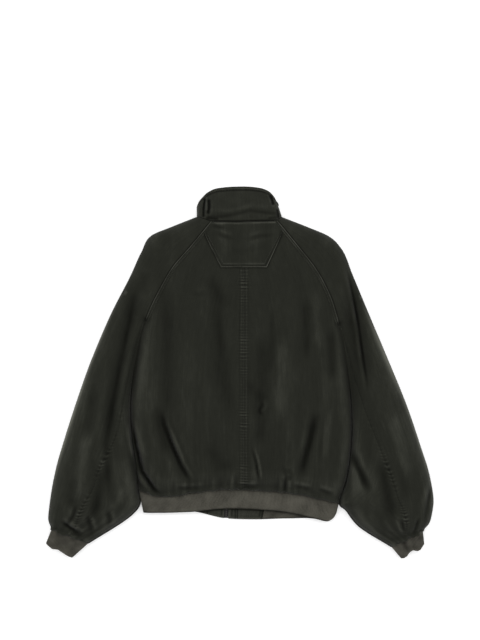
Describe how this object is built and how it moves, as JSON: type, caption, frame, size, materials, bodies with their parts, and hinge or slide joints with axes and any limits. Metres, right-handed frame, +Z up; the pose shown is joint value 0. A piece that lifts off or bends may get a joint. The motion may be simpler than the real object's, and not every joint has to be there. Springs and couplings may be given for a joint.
{
  "type": "denim jacket",
  "caption": "Oversized bomber jacket of washed black denim with raglan balloon sleeves, a stand collar and knitted rib cuffs and waistband, laid face down with its back up.",
  "frame": {"origin": "on the surface the jacket lies on, under the middle of its bounding box", "axes": "+X to the wearer's right, +Y towards the collar, +Z up off the surface, out of the jacket's back"},
  "size_m": [0.89, 0.8516, 0.0439],
  "materials": {
    "denim": "washed black denim, worn paler along its seams and folds",
    "denim_inside": "inside face of the same denim",
    "rib": "faded charcoal rib knit",
    "zip_tape": "black woven tape",
    "zip_metal": "dark worn metal"
  },
  "bodies": {
    "jacket": {"back_left": "denim", "back_right": "denim", "collar_inner": "denim_inside", "collar_outer": "denim", "cuff_left": "rib", "cuff_right": "rib", "front_left": "denim", "front_right": "denim", "hem_tab_left": "denim", "hem_tab_right": "denim", "neck_yoke": "denim", "sleeve_back_left": "denim", "sleeve_back_right": "denim", "sleeve_front_left": "denim", "sleeve_front_right": "denim", "waistband": "rib", "zip_slider": "zip_metal", "zip_tape_left": "zip_tape", "zip_tape_right": "zip_tape"},
    "pull_tab": {"zip_pull": "zip_metal"}
  },
  "joints": [
    {"name": "zip_pull_hinge", "type": "hinge", "parent": "jacket", "child": "pull_tab", "pos_m": [0.00012, 0.403, 0.0023], "axis": [1, 0, 0], "range_deg": [0, 165]}
  ]
}
